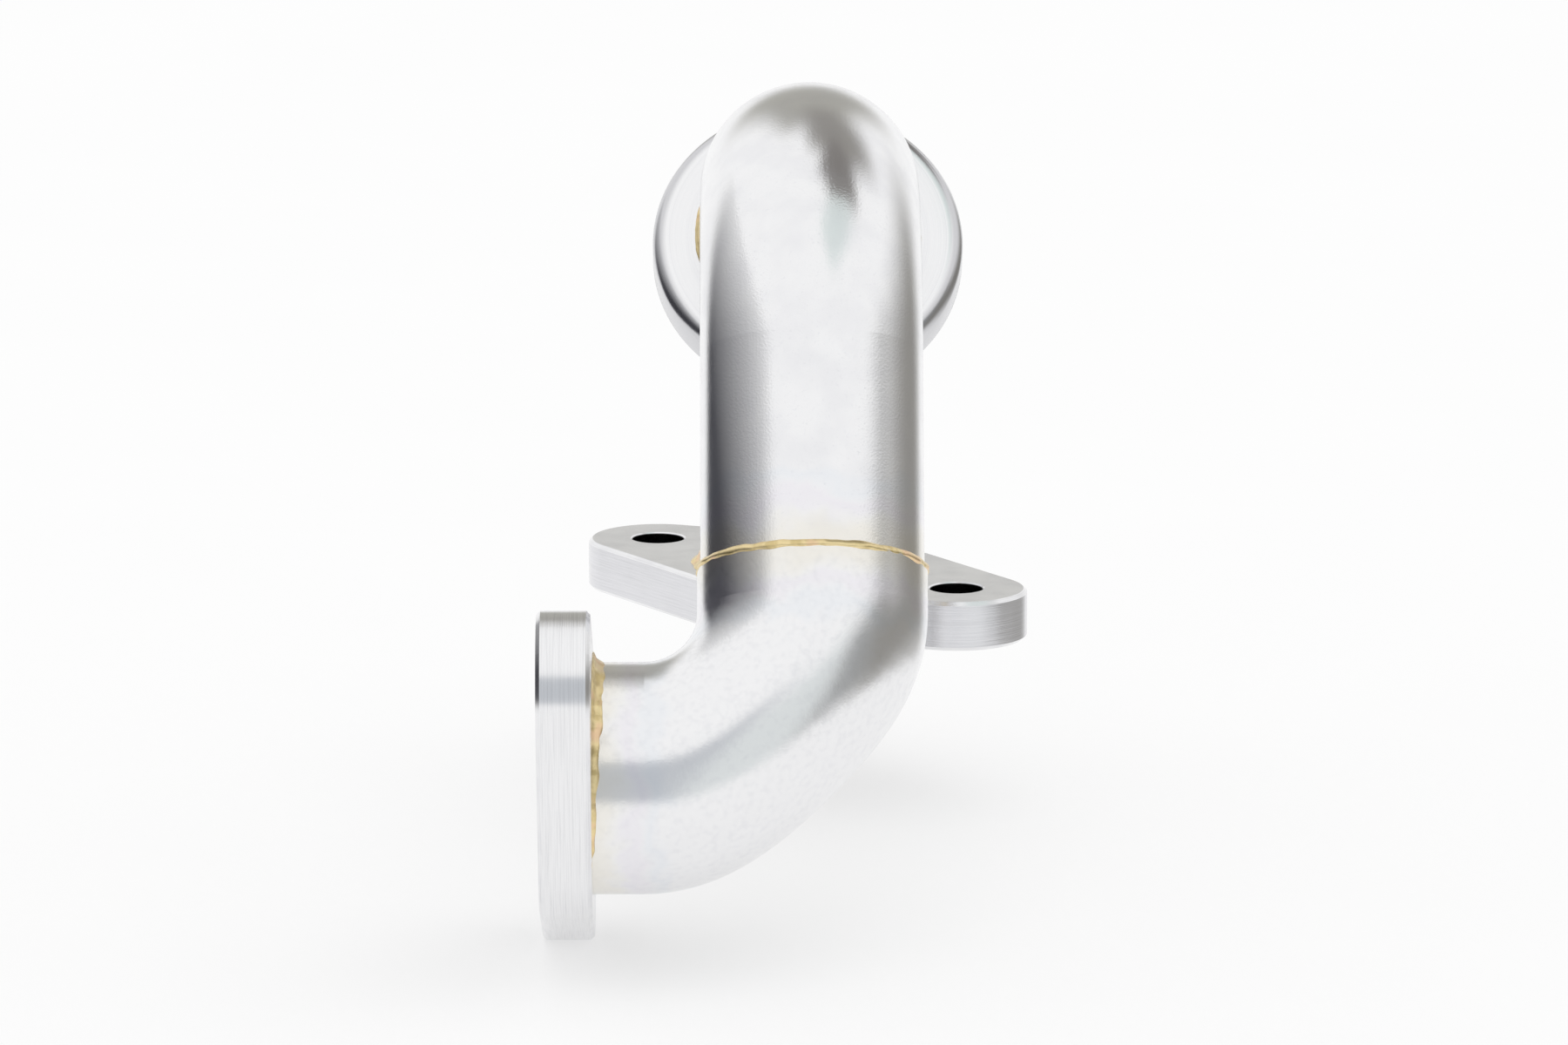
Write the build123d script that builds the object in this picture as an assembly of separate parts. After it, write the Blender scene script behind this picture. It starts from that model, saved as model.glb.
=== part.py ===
from build123d import *
import os
from math import cos, radians, sin, tan

# Exhaust gas recirculation pipe.
# A steel tube stands on a two-bolt rear flange, bends forward, passes through a round collar,
# arches over and comes down in front, where it is brazed to a tight elbow.
# The elbow turns to the left and ends in a second two-bolt flange.
# Origin: centre of the rear flange's mating face. +Z runs up the rear leg, -Y is the front,
# and the lower flange faces -X. Sizes are in millimetres and degrees.

# Bent tube
TUBE_OD = 34.0
TUBE_WALL = 1.5
BEND_RADIUS = 34.5
REAR_LEG = 14.0
FIRST_BEND = 51.2
BEND_TO_COLLAR = 23.5
COLLAR_TO_TOP_BEND = 6.0
TOP_BEND = 103.0
FRONT_LEG = 33.5

# Elbow, pressed tight on its inside and flattened on its outside.
# Its bore is the tube's bore, so its thicker wall stands proud of the tube at the joint.
ELBOW_WALL = 2.0
ELBOW_OD = TUBE_OD - 2 * TUBE_WALL + 2 * ELBOW_WALL
ELBOW_ENTRY_LEG = 6.8
ELBOW_EXIT_LEG = 7.8
ELBOW_INNER_RADIUS = 7.9
ELBOW_TURN = 90.0
ELBOW_FLATTENING = 3.2
ELBOW_WIDENING = 1.0
ELBOW_SECTIONS = 7

# Two-bolt flanges. Both have one outline, with a land of metal round the larger pipe.
FLANGE_THICKNESS = 8.0
FLANGE_LAND = 3.5
FLANGE_HUB_RADIUS = max(TUBE_OD, ELBOW_OD) / 2 + FLANGE_LAND
FLANGE_EAR_RADIUS = 11.4
BOLT_SPACING = 62.0
BOLT_HOLE = 8.5
FLANGE_EDGE_BREAK = 0.6
HOLE_EDGE_BREAK = 0.3
TUBE_SETBACK = 0.5
REAR_FLANGE_CLOCKING = -39.0
LOWER_FLANGE_CLOCKING = 51.0

# Collar
COLLAR_OD = 49.0
COLLAR_THICKNESS = 8.0
COLLAR_EDGE_BREAK = 0.8

# Brazing
BRAZE_GAP = 0.05
BRAZE_ON_FACE = 1.9
BRAZE_ON_TUBE = 2.4
BRAZE_HOLLOW = 0.3
JOINT_BEAD_WIDTH = 2.2
JOINT_BEAD_HEIGHT = 0.6

LEFT = Vector(-1, 0, 0)


def lean(angle):
    """Direction in the pipe's own plane, leaning forward from straight up by an angle."""
    return Vector(0, -sin(radians(angle)), cos(radians(angle)))


def corner_reach(angle):
    """How far a bend of this angle reaches from its corner along each leg."""
    return BEND_RADIUS * tan(radians(angle / 2))


UP = lean(0)
RISE = lean(FIRST_BEND)
FALL = lean(FIRST_BEND + TOP_BEND)

TUBE_FOOT = UP * TUBE_SETBACK
FIRST_CORNER = UP * (FLANGE_THICKNESS + REAR_LEG + corner_reach(FIRST_BEND))
COLLAR_BACK = FIRST_CORNER + RISE * (corner_reach(FIRST_BEND) + BEND_TO_COLLAR)
COLLAR_FRONT = COLLAR_BACK + RISE * COLLAR_THICKNESS
TOP_CORNER = COLLAR_FRONT + RISE * (COLLAR_TO_TOP_BEND + corner_reach(TOP_BEND))
JOINT = TOP_CORNER + FALL * (corner_reach(TOP_BEND) + FRONT_LEG)

ELBOW_AXIS_RADIUS = ELBOW_INNER_RADIUS + ELBOW_OD / 2
ELBOW_START = JOINT + FALL * ELBOW_ENTRY_LEG
ELBOW_CENTRE = ELBOW_START + LEFT * ELBOW_AXIS_RADIUS
ELBOW_END = ELBOW_CENTRE + FALL * ELBOW_AXIS_RADIUS
LOWER_FLANGE_BACK = ELBOW_END + LEFT * ELBOW_EXIT_LEG
LOWER_FLANGE_FACE = LOWER_FLANGE_BACK + LEFT * FLANGE_THICKNESS


def flange_outline():
    """Diamond plate: a round hub with an ear for each bolt, joined by straight flanks."""
    rounds = Circle(FLANGE_HUB_RADIUS).edges()
    for side in (-1, 1):
        rounds += (Pos(side * BOLT_SPACING / 2, 0) * Circle(FLANGE_EAR_RADIUS)).edges()
    return make_hull(rounds)


def two_bolt_flange(pipe_od):
    """Flange with its mating face at z = 0 and its ears along x, bored for the pipe it holds."""
    plate = extrude(flange_outline(), FLANGE_THICKNESS)
    faces = plate.faces().sort_by(Axis.Z)
    plate = chamfer(faces[0].edges() + faces[-1].edges(), FLANGE_EDGE_BREAK)
    middle = Pos(0, 0, FLANGE_THICKNESS / 2)
    plate -= middle * Cylinder(pipe_od / 2 + BRAZE_GAP, FLANGE_THICKNESS)
    for side in (-1, 1):
        hole = middle * Pos(side * BOLT_SPACING / 2, 0) * Cylinder(BOLT_HOLE / 2, FLANGE_THICKNESS)
        plate -= hole
    return break_bolt_holes(plate)


def break_bolt_holes(plate):
    """Takes the sharp edge off both ends of each bolt hole."""
    rims = [
        edge
        for edge in plate.edges().filter_by(GeomType.CIRCLE)
        if abs(edge.radius - BOLT_HOLE / 2) < HOLE_EDGE_BREAK and edge.is_closed
    ]
    return chamfer(rims, HOLE_EDGE_BREAK)


def rear_flange():
    return Rot(0, 0, REAR_FLANGE_CLOCKING) * two_bolt_flange(TUBE_OD)


def lower_flange():
    """The plate's z axis points back along the elbow's exit, away from the mating face."""
    seat = Plane(LOWER_FLANGE_FACE, x_dir=lean(LOWER_FLANGE_CLOCKING), z_dir=-LEFT)
    return seat * two_bolt_flange(ELBOW_OD)


def main_pipe():
    """Tube with two bends in one plane, from the rear flange to the brazed joint."""
    route = FilletPolyline(TUBE_FOOT, FIRST_CORNER, TOP_CORNER, JOINT, radius=BEND_RADIUS)
    start = Plane(TUBE_FOOT, z_dir=UP)
    outside = sweep(start * Circle(TUBE_OD / 2), route)
    inside = sweep(start * Circle(TUBE_OD / 2 - TUBE_WALL), route)
    return outside - inside


def elbow_section(share, wall):
    """Oval across the elbow at a share of its turn, taken in by a wall on every side."""
    turn = radians(ELBOW_TURN * share)
    squeeze = sin(2 * turn) ** 2
    half_in_plane = (ELBOW_OD - ELBOW_FLATTENING * squeeze) / 2
    half_across = (ELBOW_OD + ELBOW_WIDENING * squeeze) / 2
    outward = FALL * sin(turn) - LEFT * cos(turn)
    onward = FALL * cos(turn) + LEFT * sin(turn)
    middle = ELBOW_CENTRE + outward * (ELBOW_INNER_RADIUS + half_in_plane)
    plane = Plane(middle, x_dir=outward.cross(onward), z_dir=onward)
    return plane * Ellipse(half_across - wall, half_in_plane - wall)


def elbow_turn(wall):
    """Solid shape of the elbow's curved part, taken in by a wall."""
    steps = ELBOW_SECTIONS - 1
    return loft([elbow_section(step / steps, wall) for step in range(ELBOW_SECTIONS)])


def elbow_leg(start, direction, length):
    """Straight length of pipe in the elbow's own size."""
    ring = Circle(ELBOW_OD / 2) - Circle(ELBOW_OD / 2 - ELBOW_WALL)
    return extrude(Plane(start, z_dir=direction) * ring, length)


def lower_elbow():
    """Curved pipe with a short leg to the joint and one that runs into the lower flange."""
    turn = elbow_turn(0) - elbow_turn(ELBOW_WALL)
    exit_length = ELBOW_EXIT_LEG + FLANGE_THICKNESS - TUBE_SETBACK
    entry = elbow_leg(JOINT, FALL, ELBOW_ENTRY_LEG)
    leaving = elbow_leg(ELBOW_END, LEFT, exit_length)
    return turn + entry + leaving


def collar():
    """Turned ring that the bent tube passes through, with both outer edges broken."""
    ring = Cylinder(COLLAR_OD / 2, COLLAR_THICKNESS)
    ring = chamfer(ring.edges().filter_by(GeomType.CIRCLE), COLLAR_EDGE_BREAK)
    ring -= Cylinder(TUBE_OD / 2 + BRAZE_GAP, COLLAR_THICKNESS)
    return Plane((COLLAR_BACK + COLLAR_FRONT) / 2, z_dir=RISE) * ring


def braze_fillet(pipe_od, seat, direction):
    """Hollow-faced ring of filler between a face and the pipe that leaves it."""
    tube = pipe_od / 2
    corner = Vector(tube, 0)
    on_face = Vector(tube + BRAZE_ON_FACE, 0)
    on_tube = Vector(tube, BRAZE_ON_TUBE)
    waist = corner + ((on_face + on_tube) / 2 - corner) * (1 - BRAZE_HOLLOW)
    outline = Polyline(on_tube, corner, on_face) + ThreePointArc(on_face, waist, on_tube)
    profile = Plane.XZ * make_face(outline)
    return Plane(seat, z_dir=direction) * revolve(profile, Axis.Z)


def joint_braze():
    """Round bead over the step where the bent tube meets the elbow."""
    tube, step = TUBE_OD / 2, ELBOW_OD / 2
    half = JOINT_BEAD_WIDTH / 2
    crown = Vector(max(tube, step) + JOINT_BEAD_HEIGHT, 0)
    above, below = Vector(tube, -half), Vector(step, half)
    outline = Polyline(above, Vector(tube, 0), Vector(step, 0), below)
    outline += ThreePointArc(below, crown, above)
    profile = Plane.XZ * make_face(outline)
    return Plane(JOINT, z_dir=FALL) * revolve(profile, Axis.Z)


NODES = {
    "rear_flange": rear_flange(),
    "rear_flange_braze": braze_fillet(TUBE_OD, UP * FLANGE_THICKNESS, UP),
    "main_pipe": main_pipe(),
    "collar": collar(),
    "collar_back_braze": braze_fillet(TUBE_OD, COLLAR_BACK, -RISE),
    "collar_front_braze": braze_fillet(TUBE_OD, COLLAR_FRONT, RISE),
    "joint_braze": joint_braze(),
    "lower_elbow": lower_elbow(),
    "lower_flange_braze": braze_fillet(ELBOW_OD, LOWER_FLANGE_BACK, -LEFT),
    "lower_flange": lower_flange(),
}

os.makedirs("parts", exist_ok=True)
for name, shape in NODES.items():
    export_step(shape, f"parts/{name}.step")
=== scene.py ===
"""Exhaust gas recirculation pipe: its steel finishes, its brazing, and a white studio tent."""

from math import cos, pi, radians, sin, tan

import bpy
from mathutils import Matrix, Vector


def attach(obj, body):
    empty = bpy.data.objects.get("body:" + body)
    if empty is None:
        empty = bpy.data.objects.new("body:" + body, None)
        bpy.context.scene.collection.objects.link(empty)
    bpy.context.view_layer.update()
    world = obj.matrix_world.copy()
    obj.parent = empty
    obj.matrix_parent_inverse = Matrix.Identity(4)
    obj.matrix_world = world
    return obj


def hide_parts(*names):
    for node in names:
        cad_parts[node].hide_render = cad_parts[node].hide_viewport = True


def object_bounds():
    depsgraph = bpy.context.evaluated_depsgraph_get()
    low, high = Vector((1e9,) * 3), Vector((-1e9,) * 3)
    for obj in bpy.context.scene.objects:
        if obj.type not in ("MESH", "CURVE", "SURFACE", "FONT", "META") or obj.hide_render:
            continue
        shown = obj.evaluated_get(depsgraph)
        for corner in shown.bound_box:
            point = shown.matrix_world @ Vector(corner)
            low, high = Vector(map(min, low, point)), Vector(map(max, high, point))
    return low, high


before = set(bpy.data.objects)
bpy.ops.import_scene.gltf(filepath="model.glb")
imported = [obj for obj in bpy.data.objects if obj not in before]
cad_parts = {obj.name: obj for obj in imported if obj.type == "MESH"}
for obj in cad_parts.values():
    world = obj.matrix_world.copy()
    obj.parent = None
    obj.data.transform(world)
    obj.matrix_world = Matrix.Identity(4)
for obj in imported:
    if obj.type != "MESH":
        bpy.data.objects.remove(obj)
cad_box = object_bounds()

MM = 0.001
ORIGIN = Vector((0, 0, 0))
UP = Vector((0, 0, 1))
LEFT = Vector((-1, 0, 0))

# Route of the pipe, as in the part
TUBE_OD = 34.0 * MM
ELBOW_OD = 35.0 * MM
BEND_RADIUS = 34.5 * MM
REAR_LEG = 14.0 * MM
FIRST_BEND = 51.2
BEND_TO_COLLAR = 23.5 * MM
COLLAR_OD = 49.0 * MM
COLLAR_BORE = TUBE_OD + 0.1 * MM
COLLAR_THICKNESS = 8.0 * MM
COLLAR_TO_TOP_BEND = 6.0 * MM
TOP_BEND = 103.0
FRONT_LEG = 33.5 * MM
ELBOW_ENTRY_LEG = 6.8 * MM
ELBOW_EXIT_LEG = 7.8 * MM
ELBOW_AXIS_RADIUS = 7.9 * MM + ELBOW_OD / 2
FLANGE_THICKNESS = 8.0 * MM
BOLT_SPACING = 62.0 * MM
BOLT_HOLE = 8.5 * MM
REAR_FLANGE_CLOCKING = -39.0
LOWER_FLANGE_CLOCKING = 51.0


def lean(angle):
    """Direction in the pipe's own plane, leaning forward from straight up by an angle."""
    return Vector((0, -sin(radians(angle)), cos(radians(angle))))


def corner_reach(angle):
    """How far a bend of this angle reaches from its corner along each leg."""
    return BEND_RADIUS * tan(radians(angle / 2))


RISE = lean(FIRST_BEND)
FALL = lean(FIRST_BEND + TOP_BEND)
FIRST_CORNER = UP * (FLANGE_THICKNESS + REAR_LEG + corner_reach(FIRST_BEND))
COLLAR_BACK = FIRST_CORNER + RISE * (corner_reach(FIRST_BEND) + BEND_TO_COLLAR)
COLLAR_FRONT = COLLAR_BACK + RISE * COLLAR_THICKNESS
TOP_CORNER = COLLAR_FRONT + RISE * (COLLAR_TO_TOP_BEND + corner_reach(TOP_BEND))
JOINT = TOP_CORNER + FALL * (corner_reach(TOP_BEND) + FRONT_LEG)
ELBOW_END = JOINT + FALL * (ELBOW_ENTRY_LEG + ELBOW_AXIS_RADIUS) + LEFT * ELBOW_AXIS_RADIUS
LOWER_FLANGE_BACK = ELBOW_END + LEFT * ELBOW_EXIT_LEG
REAR_FLANGE_TOP = UP * FLANGE_THICKNESS


# Shader building


def node(tree, kind, feeds=None, **settings):
    """Adds a shader node and feeds its inputs from plain values or from other nodes' outputs."""
    made = tree.nodes.new(kind)
    for name, value in settings.items():
        setattr(made, name, value)
    for key, value in (feeds or {}).items():
        if isinstance(value, bpy.types.NodeSocket):
            tree.links.new(value, made.inputs[key])
        else:
            made.inputs[key].default_value = value
    return made


def maths(tree, operation, *values):
    """One step of arithmetic."""
    return node(tree, "ShaderNodeMath", dict(enumerate(values)), operation=operation).outputs[0]


def vector_maths(tree, operation, *values):
    """One step of arithmetic on vectors; a dot product or a length comes out of the second socket."""
    made = node(tree, "ShaderNodeVectorMath", dict(enumerate(values)), operation=operation)
    return made.outputs[1 if operation in ("DOT_PRODUCT", "LENGTH") else 0]


def fade(tree, value, start, end, low=0.0, high=1.0, course="SMOOTHSTEP"):
    """Goes from low to high while a value goes from start to end, softly unless told otherwise."""
    feeds = {0: value, 1: start, 2: end, 3: low, 4: high}
    return node(tree, "ShaderNodeMapRange", feeds, interpolation_type=course).outputs[0]


def lay_over(tree, share, under, over):
    """Lays one colour over another by a share from 0 to 1."""
    made = node(tree, "ShaderNodeMix", {0: share, 6: under, 7: over}, data_type="RGBA")
    return made.outputs[2]


def grain(tree, place, size, detail=2.0, stretch=(1, 1, 1)):
    """Uneven value round a half whose marks have about this size before they are stretched."""
    scale = [1 / (size * part) for part in stretch]
    moved = node(tree, "ShaderNodeMapping", {0: place, 3: scale}, vector_type="POINT")
    return node(tree, "ShaderNodeTexNoise", {0: moved.outputs[0], 2: 1.0, 3: detail}).outputs[0]


def grey(level, red=1.0, green=1.0, blue=1.0):
    """A grey, tinted a little where its red, green or blue isn't one."""
    return (level * red, level * green, level * blue, 1.0)


def new_material(name):
    """An empty node material with the place on the object ready to use."""
    made = bpy.data.materials.new(name)
    made.use_nodes = True
    made.node_tree.nodes.clear()
    place = node(made.node_tree, "ShaderNodeTexCoord").outputs["Object"]
    return made, made.node_tree, place


def finish_metal(tree, colour, roughness, height, depth):
    """Metal surface with its colour, its roughness and a relief of this depth."""
    bump = node(tree, "ShaderNodeBump", {"Height": height, "Distance": depth, "Strength": 1.0})
    feeds = {"Base Color": colour, "Metallic": 1.0, "Roughness": roughness}
    feeds["Normal"] = bump.outputs[0]
    surface = node(tree, "ShaderNodeBsdfPrincipled", feeds)
    node(tree, "ShaderNodeOutputMaterial", {"Surface": surface.outputs[0]})


def distance_along(tree, place, start, direction):
    """How far a point lies from a start along a direction, either way."""
    step = vector_maths(tree, "SUBTRACT", place, start)
    return maths(tree, "ABSOLUTE", vector_maths(tree, "DOT_PRODUCT", step, direction))


def distance_from_axis(tree, place, start, direction):
    """How far a point lies from a line through a start along a direction."""
    step = vector_maths(tree, "SUBTRACT", place, start)
    return vector_maths(tree, "LENGTH", vector_maths(tree, "CROSS_PRODUCT", step, direction))


# Steel finishes

BRIGHT_STEEL = grey(0.88, blue=1.01)
WORN_STEEL = grey(0.80, blue=1.03)
STRAW = grey(0.84, green=0.93, blue=0.74)
VIOLET = grey(0.80, green=0.94, blue=1.05)
PALE_BLUE = grey(0.80, red=0.94, blue=1.08)
DULL_STEEL = grey(0.62, blue=1.03)
# Painted shade: the rear flange's side faces, darkened to stand for the shaded table that they
# reflect.
SIDE_FACE_SHADE = grey(0.77, blue=1.03)
# Painted shade on the collar's rounded rim, standing for the dark reflection there.
RIM_PAINTED_SHADE = grey(0.62, blue=1.03)
# Painted shade for the dark inside of the bolt holes.
PAINTED_HOLE_SHADE = grey(0.055)

# Size of the marks in each finish
TUBE_SPECKLE = 0.35 * MM
TUBE_CLOUDS = 6 * MM
DRAW_LINES = 0.5 * MM
ELBOW_SPECKLE = 0.3 * MM
ELBOW_PATCHES = 1.1 * MM
BRUSH_MARKS = 0.16 * MM
TURNED_RINGS = 0.14 * MM
PLATE_CLOUDS = 5 * MM
HEAT_CLOUDS = 7 * MM

# Stretch of the draw lines and the brush marks along x, y and z
DRAW_STRETCH = (1, 60, 60)
REAR_BRUSHING = (80, 80, 1)
LOWER_BRUSHING = (1, 80, 80)

# Roughness of each finish, as the spread that its pattern adds and the least that is left
TUBE_ROUGHNESS = (0.10, 0.12)
ELBOW_ROUGHNESS = (0.20, 0.10)
FLANGE_ROUGHNESS = (0.12, 0.16)
COLLAR_ROUGHNESS = (0.10, 0.13)
BRAZE_ROUGHNESS = (0.25, 0.22)

# Depth of each finish's relief
TUBE_RELIEF = 0.015 * MM
ELBOW_RELIEF = 0.008 * MM
PLATE_RELIEF = 0.012 * MM
BRAZE_RELIEF = 0.03 * MM

# Heat tint: how far it reaches, how far it wanders, and its bands' middles in shares of its reach
HEAT_REACH = 13 * MM
HEAT_WANDER = 9 * MM
HEAT_BANDS = ((0.5, VIOLET), (0.75, PALE_BLUE))

# Where the painted shade of a bolt hole ends and where it is full, measured out from the hole's wall
PAINTED_HOLE_SHADE_END = 0.12 * MM
PAINTED_HOLE_SHADE_FULL = 0.04 * MM

# Where the painted shade on the collar's rim starts and where it is full, measured from the axis
SHADED_RIM_START = COLLAR_OD / 2 - 2.2 * MM
SHADED_RIM_FULL = COLLAR_OD / 2 - 1.2 * MM


def clouded_steel(tree, cloud):
    """Bright steel, worn in the patches where a cloudy value is high."""
    return lay_over(tree, fade(tree, cloud, 0.35, 0.7, 0.0, 0.5), BRIGHT_STEEL, WORN_STEEL)


def heat_tint(tree, colour, place, seat, direction):
    """Straw, violet and pale blue that the torch left in bands beside a brazed seat."""
    distance = distance_along(tree, place, seat, direction)
    clouds = grain(tree, place, HEAT_CLOUDS)
    wander = maths(tree, "MULTIPLY_ADD", clouds, HEAT_WANDER, -HEAT_WANDER / 2)
    share = maths(tree, "DIVIDE", maths(tree, "ADD", distance, wander), HEAT_REACH)
    straw = fade(tree, share, 0.5, 0.05, 0.0, 0.38)
    colour = lay_over(tree, straw, colour, STRAW)
    for middle, band in HEAT_BANDS:
        off = maths(tree, "ABSOLUTE", maths(tree, "SUBTRACT", share, middle))
        colour = lay_over(tree, fade(tree, off, 0.2, 0.0, 0.0, 0.3), colour, band)
    return colour


def tube_steel():
    """Drawn stainless tube: satin, finely speckled, with faint draw lines along its length."""
    made, tree, place = new_material("tube_steel_satin")
    speckle = grain(tree, place, TUBE_SPECKLE, detail=3.0)
    cloud = grain(tree, place, TUBE_CLOUDS)
    # The tube bends in one plane, so lines of equal x run along it everywhere.
    lines = grain(tree, place, DRAW_LINES, stretch=DRAW_STRETCH)
    colour = clouded_steel(tree, cloud)
    pits = fade(tree, speckle, 0.60, 0.70, 0.0, 0.6)
    colour = lay_over(tree, pits, colour, WORN_STEEL)
    for seat, direction in ((JOINT, FALL), (COLLAR_BACK, RISE), (COLLAR_FRONT, RISE)):
        colour = heat_tint(tree, colour, place, seat, direction)
    colour = heat_tint(tree, colour, place, REAR_FLANGE_TOP, UP)
    roughness = maths(tree, "MULTIPLY_ADD", cloud, *TUBE_ROUGHNESS)
    roughness = maths(tree, "MULTIPLY_ADD", pits, 0.12, roughness)
    height = maths(tree, "MULTIPLY_ADD", lines, 0.4, speckle)
    finish_metal(tree, colour, roughness, height, TUBE_RELIEF)
    return made


def elbow_steel():
    """Pressed elbow: a duller, more finely mottled skin than the tube's."""
    made, tree, place = new_material("elbow_steel_pressed")
    speckle = grain(tree, place, ELBOW_SPECKLE, detail=3.0)
    patches = grain(tree, place, ELBOW_PATCHES, detail=4.0)
    colour = lay_over(tree, fade(tree, patches, 0.45, 0.7, 0.0, 0.4), BRIGHT_STEEL, WORN_STEEL)
    colour = heat_tint(tree, colour, place, JOINT, FALL)
    colour = heat_tint(tree, colour, place, LOWER_FLANGE_BACK, LEFT)
    roughness = maths(tree, "MULTIPLY_ADD", patches, *ELBOW_ROUGHNESS)
    height = maths(tree, "ADD", patches, speckle)
    finish_metal(tree, colour, roughness, height, ELBOW_RELIEF)
    return made


def bolt_hole_shade(tree, colour, place, centre, across, through):
    """Paints shade on the walls of both bolt holes of a flange, where the deep bores are dark."""
    for side in (-1, 1):
        middle = centre + across * (side * BOLT_SPACING / 2)
        radius = distance_from_axis(tree, place, middle, through)
        inside = fade(tree, radius, BOLT_HOLE / 2 + PAINTED_HOLE_SHADE_END, BOLT_HOLE / 2 + PAINTED_HOLE_SHADE_FULL)
        colour = lay_over(tree, inside, colour, PAINTED_HOLE_SHADE)
    return colour


def flange_steel(name, centre, across, through, stretch, side_colour_and_shade):
    """Ground flange plate: brush marks, side faces in a tone of their own that on the rear flange is
    painted shade, and painted shade in the bolt holes.
    """
    made, tree, place = new_material(name)
    brush = grain(tree, place, BRUSH_MARKS, detail=4.0, stretch=stretch)
    cloud = grain(tree, place, PLATE_CLOUDS)
    facing = node(tree, "ShaderNodeNewGeometry").outputs["Normal"]
    square_on = maths(tree, "ABSOLUTE", vector_maths(tree, "DOT_PRODUCT", facing, through))
    # Side faces take their own colour; on the rear flange it is painted shade, standing for the
    # shaded table that they reflect.
    side_faces = fade(tree, square_on, 0.5, 0.2)
    colour = clouded_steel(tree, cloud)
    colour = lay_over(tree, side_faces, colour, side_colour_and_shade)
    dark_marks = fade(tree, brush, 0.42, 0.75, 0.0, 0.4)
    colour = lay_over(tree, dark_marks, colour, DULL_STEEL)
    colour = bolt_hole_shade(tree, colour, place, centre, across, through)
    roughness = maths(tree, "MULTIPLY_ADD", cloud, *FLANGE_ROUGHNESS)
    finish_metal(tree, colour, roughness, brush, PLATE_RELIEF)
    return made


def collar_steel():
    """Turned collar: fine rings round the pipe on its faces, and painted shade on its rim."""
    made, tree, place = new_material("collar_steel_turned")
    middle = (COLLAR_BACK + COLLAR_FRONT) / 2
    step = vector_maths(tree, "SUBTRACT", place, middle)
    depth = vector_maths(tree, "DOT_PRODUCT", step, RISE)
    radius = distance_from_axis(tree, place, middle, RISE)
    turned = node(tree, "ShaderNodeCombineXYZ", {0: radius, 1: depth}).outputs[0]
    rings = grain(tree, turned, TURNED_RINGS, detail=3.0)
    cloud = grain(tree, place, PLATE_CLOUDS)
    colour = lay_over(tree, fade(tree, rings, 0.4, 0.7, 0.0, 0.5), BRIGHT_STEEL, WORN_STEEL)
    # Paints shade on the collar's outer rim.
    colour = lay_over(tree, fade(tree, radius, SHADED_RIM_START, SHADED_RIM_FULL), colour, RIM_PAINTED_SHADE)
    roughness = maths(tree, "MULTIPLY_ADD", cloud, *COLLAR_ROUGHNESS)
    finish_metal(tree, colour, roughness, rings, PLATE_RELIEF)
    return made


# Brazing

GOLD = grey(0.86, green=0.82, blue=0.46)
OLD_GOLD = grey(0.70, green=0.80, blue=0.40)
COPPER_BLUSH = grey(0.86, green=0.70, blue=0.46)
BROWN_PATCHES = 1.6 * MM
BLUSH_SIZE = 4.5 * MM
BRAZE_PITS = 0.35 * MM


def braze_alloy():
    """Brass filler: gold, browned in patches, with a copper blush and small pits."""
    made, tree, place = new_material("braze_alloy")
    patches = grain(tree, place, BROWN_PATCHES, detail=3.0)
    blush = grain(tree, place, BLUSH_SIZE)
    pits = grain(tree, place, BRAZE_PITS, detail=3.0)
    colour = lay_over(tree, fade(tree, patches, 0.42, 0.64), GOLD, OLD_GOLD)
    colour = lay_over(tree, fade(tree, blush, 0.52, 0.66, 0.0, 0.8), colour, COPPER_BLUSH)
    roughness = maths(tree, "MULTIPLY_ADD", pits, *BRAZE_ROUGHNESS)
    height = maths(tree, "MULTIPLY_ADD", patches, 2.0, pits)
    finish_metal(tree, colour, roughness, height, BRAZE_RELIEF)
    return made


# Rings: the collar and the beads of filler

RING_SEGMENTS = 160

# How deep a bead goes into the metal it joins
SUNK = 0.4 * MM

# How far a fillet reaches on the face and on the pipe
FULL_BEAD = (1.7 * MM, 2.1 * MM)
SLIGHT_BEAD = (0.9 * MM, 1.2 * MM)

# How much deeper the lower flange's bead goes at its bottom
LOWER_BEAD_SINK = 2.3 * MM

# How far a bead wanders, and over what size
FILLET_FLOW = (0.8 * MM, 2.6 * MM)
JOINT_FLOW = (0.7 * MM, 3.0 * MM)


def deselect_all():
    """Leaves nothing selected, so that the next operator acts on its own piece alone."""
    bpy.ops.object.select_all(action="DESELECT")


def frame_on(seat, direction):
    """Placement whose z axis points along a direction, with its origin on a seat."""
    place = direction.to_track_quat("Z", "Y").to_matrix().to_4x4()
    place.translation = seat
    return place


def grow_ring(lift, widen):
    """Draws the selected rim on to a new one, lifted along z and widened from the axis."""
    bpy.ops.mesh.extrude_region_move(TRANSFORM_OT_translate={"value": (0, 0, lift)})
    bpy.ops.transform.resize(value=(widen, widen, 1), center_override=(0, 0, 0))


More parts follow.
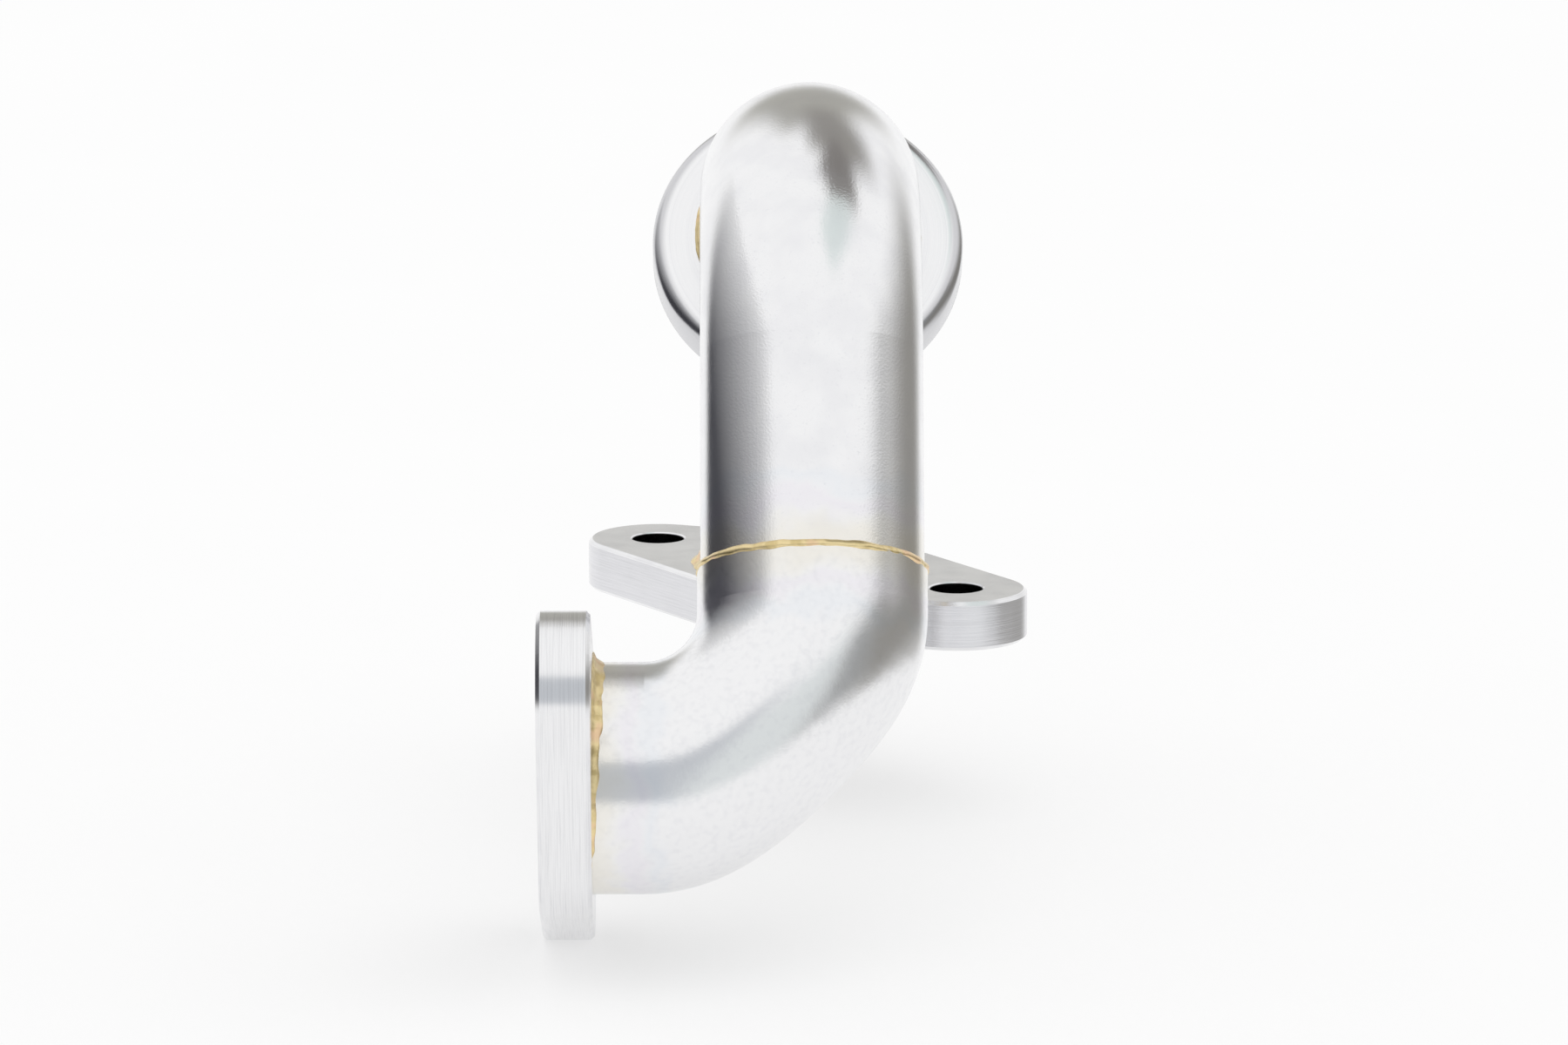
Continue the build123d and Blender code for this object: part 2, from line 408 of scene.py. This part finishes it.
def ring(name, profile):
    """Closed ring drawn round z through the points (radius, height) of its profile."""
    deselect_all()
    radius, height = profile[0]
    bpy.ops.mesh.primitive_circle_add(
        vertices=RING_SEGMENTS, radius=radius, fill_type="NOTHING", location=(0, 0, height)
    )
    piece = bpy.context.object
    piece.name = name
    bpy.ops.object.transform_apply(location=True)
    bpy.ops.object.mode_set(mode="EDIT")
    bpy.ops.mesh.select_all(action="SELECT")
    for next_radius, next_height in profile[1:]:
        grow_ring(next_height - height, next_radius / radius)
        radius, height = next_radius, next_height
    bpy.ops.mesh.select_all(action="DESELECT")
    bpy.ops.mesh.select_non_manifold(extend=False)
    bpy.ops.mesh.bridge_edge_loops()
    bpy.ops.mesh.select_all(action="SELECT")
    bpy.ops.mesh.normals_make_consistent(inside=False)
    bpy.ops.object.mode_set(mode="OBJECT")
    return piece


def seat_ring(piece, seat, direction, node_name, material):
    """Puts a ring on its seat, in its mesh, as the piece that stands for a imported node."""
    piece.matrix_world = frame_on(seat, direction)
    bpy.ops.object.transform_apply(location=True, rotation=True)
    piece.data.materials.append(material)
    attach(piece, "root")
    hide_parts(node_name)


COLLAR_FRONT_ROUND = 2.4 * MM
COLLAR_BACK_ROUND = 0.8 * MM
ROUND_STEPS = 6
SMOOTH_BELOW = radians(25)


def rounded_edge(round_radius, face, inward):
    """Profile of the collar's outer edge, as a quarter circle from one flat face to the rim."""
    points = []
    for step in range(ROUND_STEPS + 1):
        angle = pi / 2 * step / ROUND_STEPS
        radius = COLLAR_OD / 2 - round_radius * (1 - sin(angle))
        points.append((radius, face + inward * round_radius * (1 - cos(angle))))
    return points


def turned_collar():
    """Collar with its bore, flat faces and rounded outer edges."""
    back_edge = rounded_edge(COLLAR_BACK_ROUND, 0.0, 1)
    front_edge = rounded_edge(COLLAR_FRONT_ROUND, COLLAR_THICKNESS, -1)
    bore = COLLAR_BORE / 2
    profile = [(bore, 0.0), *back_edge, *reversed(front_edge), (bore, COLLAR_THICKNESS)]
    piece = ring("turned_collar", profile)
    bpy.ops.object.shade_smooth_by_angle(angle=SMOOTH_BELOW)
    seat_ring(piece, COLLAR_BACK, RISE, "collar", collar_steel())


def let_flow(bead, wander, size):
    """Makes a bead's edges and thickness uneven, as filler runs and freezes."""
    clouds = bpy.data.textures.new(bead.name + "_flow", "CLOUDS")
    clouds.cloud_type = "COLOR"
    clouds.noise_scale = size
    clouds.noise_depth = 2
    flow = bead.modifiers.new("flow", "DISPLACE")
    flow.texture = clouds
    flow.texture_coords = "GLOBAL"
    flow.direction = "RGB_TO_XYZ"
    flow.mid_level = 0.5
    flow.strength = wander
    bpy.ops.object.modifier_apply(modifier="flow")
    soften = bead.modifiers.new("soften", "SUBSURF")
    soften.levels = soften.render_levels = 1
    bpy.ops.object.modifier_apply(modifier="soften")
    bpy.ops.object.shade_smooth()


def fillet_bead(node_name, pipe_od, seat, direction, material, on_face, on_tube, sink=0.0):
    """Hollow fillet of filler in the corner between a face and the pipe that leaves it.

    Its bottom lies deeper in the face by sink, because less of the filler ran there.
    """
    tube = pipe_od / 2
    # From the pipe over the hollow face to the plate, then back inside the metal
    profile = [
        (tube - SUNK, on_tube),
        (tube + 0.12 * MM, on_tube),
        (tube + on_face * 0.22, on_tube * 0.48),
        (tube + on_face * 0.50, on_tube * 0.20),
        (tube + on_face, 0.10 * MM),
        (tube + on_face, -SUNK),
        (tube - SUNK, -SUNK),
    ]
    bead = ring(node_name + "_bead", profile)
    let_flow(bead, *FILLET_FLOW)
    leant = (direction - UP * (sink / pipe_od)).normalized()
    seat_ring(bead, seat - direction * (sink / 2), leant, node_name, material)


def joint_bead(material):
    """Low bead over the step where the bent tube meets the elbow."""
    tube, step = TUBE_OD / 2, ELBOW_OD / 2
    profile = [
        (tube - SUNK, -0.75 * MM),
        (tube + 0.10 * MM, -0.75 * MM),
        (tube + 0.50 * MM, -0.30 * MM),
        (step + 0.32 * MM, 0.15 * MM),
        (step + 0.05 * MM, 0.70 * MM),
        (tube - SUNK, 0.70 * MM),
    ]
    bead = ring("joint_braze_bead", profile)
    let_flow(bead, *JOINT_FLOW)
    seat_ring(bead, JOINT, FALL, "joint_braze", material)


def dress_part():
    """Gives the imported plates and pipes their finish, and replaces the collar and the filler."""
    clocking = radians(REAR_FLANGE_CLOCKING)
    rear_across = Vector((cos(clocking), sin(clocking), 0))
    lower_across = lean(LOWER_FLANGE_CLOCKING)
    rear_steel = flange_steel(
        "rear_flange_ground", ORIGIN, rear_across, UP, REAR_BRUSHING, SIDE_FACE_SHADE
    )
    lower_steel = flange_steel(
        "lower_flange_ground", LOWER_FLANGE_BACK, lower_across, LEFT, LOWER_BRUSHING, BRIGHT_STEEL
    )
    finishes = {
        "main_pipe": tube_steel(),
        "lower_elbow": elbow_steel(),
        "rear_flange": rear_steel,
        "lower_flange": lower_steel,
    }
    for name, finish in finishes.items():
        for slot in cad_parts[name].material_slots:
            slot.material = finish
    turned_collar()
    alloy = braze_alloy()
    fillet_bead("rear_flange_braze", TUBE_OD, REAR_FLANGE_TOP, UP, alloy, *FULL_BEAD)
    fillet_bead("collar_back_braze", TUBE_OD, COLLAR_BACK, -RISE, alloy, *FULL_BEAD)
    fillet_bead("collar_front_braze", TUBE_OD, COLLAR_FRONT, RISE, alloy, *SLIGHT_BEAD)
    fillet_bead(
        "lower_flange_braze", ELBOW_OD, LOWER_FLANGE_BACK, -LEFT, alloy, *FULL_BEAD, LOWER_BEAD_SINK
    )
    joint_bead(alloy)


# Studio

ROUND_SIDES = 96
FLOOR_RADIUS = 4.0
FLOOR_LEVEL = cad_box[0].z
FLOOR_GLOW = 0.5
FLOOR_COLOUR = grey(0.98)
FLOOR_SHADE = grey(0.95)
FLOOR_CLOUDS = 60 * MM
SKY_LIGHT = 0.86
SUN_STRENGTH = 0.45
SUN_WIDTH = radians(50)
SUN_FROM = Vector((0.1, -0.45, 1.0))
TENT_RADIUS = 2.5
TENT_CENTRE = Vector((0, -60 * MM, 30 * MM))

# The table in the metal, with the distances at which it starts to fade and is gone
TABLE_CENTRE = Vector((0, -120 * MM, FLOOR_LEVEL))
TABLE_EDGE = (130 * MM, 200 * MM)


def rays(tree, *kinds):
    """One for any of these kinds of ray, else nothing."""
    path = node(tree, "ShaderNodeLightPath").outputs
    seen = path[kinds[0]]
    for kind in kinds[1:]:
        seen = maths(tree, "MAXIMUM", seen, path[kind])
    return seen


def backdrop_rays(tree):
    """Rays that see the backdrop straight, in metal or through glass."""
    return rays(tree, "Is Camera Ray", "Is Glossy Ray", "Is Transmission Ray")


def make_floor():
    """Level white floor at the lowest point of the part, which keeps the part's shadow.

    In the metal it ends at the table's edge, past which the tent shows.
    """
    deselect_all()
    bpy.ops.mesh.primitive_circle_add(
        vertices=ROUND_SIDES, radius=FLOOR_RADIUS, fill_type="NGON", location=(0, 0, FLOOR_LEVEL)
    )
    floor = bpy.context.object
    floor.name = "white_floor"
    bpy.ops.object.transform_apply(location=True)
    made, tree, place = new_material("white_floor_paint")
    cloud = grain(tree, place, FLOOR_CLOUDS)
    colour = lay_over(tree, fade(tree, cloud, 0.3, 0.7, 0.0, 0.2), FLOOR_COLOUR, FLOOR_SHADE)
    paint = node(tree, "ShaderNodeBsdfDiffuse", {"Color": colour}).outputs[0]
    glow = node(tree, "ShaderNodeEmission", {"Color": grey(1.0), "Strength": 1.0}).outputs[0]
    share = maths(tree, "MULTIPLY", backdrop_rays(tree), FLOOR_GLOW)
    lit = node(tree, "ShaderNodeMixShader", {0: share, 1: paint, 2: glow}).outputs[0]
    out = vector_maths(tree, "LENGTH", vector_maths(tree, "SUBTRACT", place, TABLE_CENTRE))
    past_edge = maths(tree, "MULTIPLY", rays(tree, "Is Glossy Ray"), fade(tree, out, *TABLE_EDGE))
    clear = node(tree, "ShaderNodeBsdfTransparent").outputs[0]
    surface = node(tree, "ShaderNodeMixShader", {0: past_edge, 1: lit, 2: clear}).outputs[0]
    node(tree, "ShaderNodeOutputMaterial", {"Surface": surface})
    floor.data.materials.append(made)


def hide_from_all_but_metal(card):
    """A studio card that only shows in the metal and neither lights nor shades anything."""
    card.visible_camera = False
    card.visible_diffuse = False
    card.visible_transmission = False
    card.visible_shadow = False


# Each panel gives its (centre, half width, edge) in degrees round from the front to the right, its
# (lowest, highest, edge) in degrees above the horizon, and its shade.
TENT_PANELS = {
    "front": ((-5, 12, 20), (-8, 24, 7), grey(0.57, red=0.96, blue=1.06)),
    "front_middle": ((28, 14, 12), (-10, 16, 10), grey(0.80, red=0.96)),
    "front_right": ((66, 12, 16), (-6, 12, 14), grey(0.36, red=0.98)),
    "right": ((105, 25, 25), (-4, 2, 30), grey(0.29, red=1.03, blue=0.93)),
    "roof_back": ((180, 13, 17), (18, 44, 14), grey(0.42, red=1.02, blue=0.92)),
    "roof_right": ((156, 18, 18), (44, 58, 14), grey(0.30, red=1.04, blue=0.93)),
    "roof_middle": ((130, 20, 20), (58, 72, 8), grey(0.21, red=1.06, blue=0.95)),
    "window": ((68, 26, 14), (62, 74, 8), grey(0.80, red=0.94, green=1.02)),
}


def tent_panel(tree, colour, azimuth, elevation, across, up, shade):
    """Lays a panel with soft edges on the tent."""
    centre, half, side_faces = across
    lowest, highest, soft = up
    turned = maths(tree, "WRAP", maths(tree, "SUBTRACT", azimuth, centre), 180.0, -180.0)
    share = fade(tree, maths(tree, "ABSOLUTE", turned), half + side_faces, half)
    share = maths(tree, "MULTIPLY", share, fade(tree, elevation, lowest - soft, lowest))
    share = maths(tree, "MULTIPLY", share, fade(tree, elevation, highest + soft, highest))
    return lay_over(tree, share, colour, shade)


def make_tent():
    """White tent round the part, with grey panels that show in the metal."""
    deselect_all()
    bpy.ops.mesh.primitive_uv_sphere_add(
        segments=ROUND_SIDES, ring_count=ROUND_SIDES // 2, radius=TENT_RADIUS, location=TENT_CENTRE
    )
    tent = bpy.context.object
    tent.name = "studio_tent"
    bpy.ops.object.transform_apply(location=True)
    made, tree, place = new_material("studio_tent_cloth")
    step = vector_maths(tree, "NORMALIZE", vector_maths(tree, "SUBTRACT", place, TENT_CENTRE))
    x, y, z = node(tree, "ShaderNodeSeparateXYZ", {0: step}).outputs
    azimuth = maths(tree, "DEGREES", maths(tree, "ARCTAN2", x, maths(tree, "MULTIPLY", y, -1.0)))
    elevation = maths(tree, "DEGREES", maths(tree, "ARCSINE", z))
    colour = grey(1.0)
    for across, up, shade in TENT_PANELS.values():
        colour = tent_panel(tree, colour, azimuth, elevation, across, up, shade)
    glow = node(tree, "ShaderNodeEmission", {"Color": colour, "Strength": 1.0}).outputs[0]
    node(tree, "ShaderNodeOutputMaterial", {"Surface": glow})
    tent.data.materials.append(made)
    hide_from_all_but_metal(tent)


# Left card: each pair gives the place where it is clear and the place where it is full.
LEFT_CARD_MIDDLE = Vector((-170 * MM, -90 * MM, -64 * MM))
LEFT_CARD_SIDE = 0.5
LEFT_CARD_TOP = (215 * MM, 55 * MM)
LEFT_CARD_FOOT = (-22 * MM, 2 * MM)
LEFT_CARD_NEAR_END = (-310 * MM, -200 * MM)
LEFT_CARD_FAR_END = (120 * MM, 35 * MM)
LEFT_CARD_CLOTH = grey(0.06, blue=1.15)


def make_left_card():
    """Dark card close by on the left, paler towards its top edge and faded out at both ends."""
    deselect_all()
    bpy.ops.mesh.primitive_plane_add(
        size=LEFT_CARD_SIDE, location=LEFT_CARD_MIDDLE, rotation=(0, pi / 2, 0)
    )
    card = bpy.context.object
    card.name = "left_card"
    bpy.ops.object.transform_apply(location=True, rotation=True)
    made, tree, place = new_material("left_card_cloth")
    spot = node(tree, "ShaderNodeSeparateXYZ", {0: place}).outputs
    share = fade(tree, spot["Z"], *LEFT_CARD_TOP, course="LINEAR")
    share = maths(tree, "MULTIPLY", share, fade(tree, spot["Z"], *LEFT_CARD_FOOT))
    share = maths(tree, "MULTIPLY", share, fade(tree, spot["Y"], *LEFT_CARD_NEAR_END))
    share = maths(tree, "MULTIPLY", share, fade(tree, spot["Y"], *LEFT_CARD_FAR_END))
    clear = node(tree, "ShaderNodeBsdfTransparent").outputs[0]
    shown = node(tree, "ShaderNodeEmission", {"Color": LEFT_CARD_CLOTH}).outputs[0]
    surface = node(tree, "ShaderNodeMixShader", {0: share, 1: clear, 2: shown}).outputs[0]
    node(tree, "ShaderNodeOutputMaterial", {"Surface": surface})
    card.data.materials.append(made)
    hide_from_all_but_metal(card)


def make_lights():
    """White sky and one wide, soft sun high in front, which add up to a plain level."""
    world = bpy.data.worlds.new("white_studio")
    world.use_nodes = True
    tree = world.node_tree
    tree.nodes.clear()
    level = fade(tree, backdrop_rays(tree), 0.0, 1.0, SKY_LIGHT, 1.0)
    sky = node(tree, "ShaderNodeBackground", {"Color": grey(1.0), "Strength": level})
    node(tree, "ShaderNodeOutputWorld", {"Surface": sky.outputs[0]})
    bpy.context.scene.world = world
    lamp = bpy.data.lights.new("soft_sun", "SUN")
    lamp.energy = SUN_STRENGTH
    lamp.angle = SUN_WIDTH
    sun = bpy.data.objects.new("soft_sun", lamp)
    sun.rotation_mode = "QUATERNION"
    sun.rotation_quaternion = SUN_FROM.to_track_quat("Z", "Y")
    sun.visible_glossy = False
    bpy.context.scene.collection.objects.link(sun)


# Camera, from the photograph's view

SENSOR_WIDTH = 36.0
CAMERA_AZIMUTH = radians(-0.42)
CAMERA_ELEVATION = radians(11.93)
CAMERA_DISTANCE = 1600 * MM
CAMERA_ASIDE = -3.5 * MM
CAMERA_RAISED = 6.47 * MM
VIEW_WIDTH = 255.3 * MM


def make_camera():
    """Aims just left of and above the middle of the rear flange's top face."""
    a, e = CAMERA_AZIMUTH, CAMERA_ELEVATION
    back = Vector((sin(a) * cos(e), -cos(a) * cos(e), sin(e)))
    right = Vector((cos(a), sin(a), 0))
    above = back.cross(right)
    data = bpy.data.cameras.new("photo_camera")
    data.sensor_width = SENSOR_WIDTH
    data.lens = SENSOR_WIDTH * CAMERA_DISTANCE / VIEW_WIDTH
    camera = bpy.data.objects.new("photo_camera", data)
    place = Matrix((right, above, back)).transposed().to_4x4()
    aim = REAR_FLANGE_TOP + right * CAMERA_ASIDE + above * CAMERA_RAISED
    place.translation = aim + back * CAMERA_DISTANCE
    camera.matrix_world = place
    bpy.context.scene.collection.objects.link(camera)
    bpy.context.scene.camera = camera


dress_part()
make_floor()
make_tent()
make_left_card()
make_lights()
make_camera()
bpy.context.scene.view_settings.view_transform = "Standard"
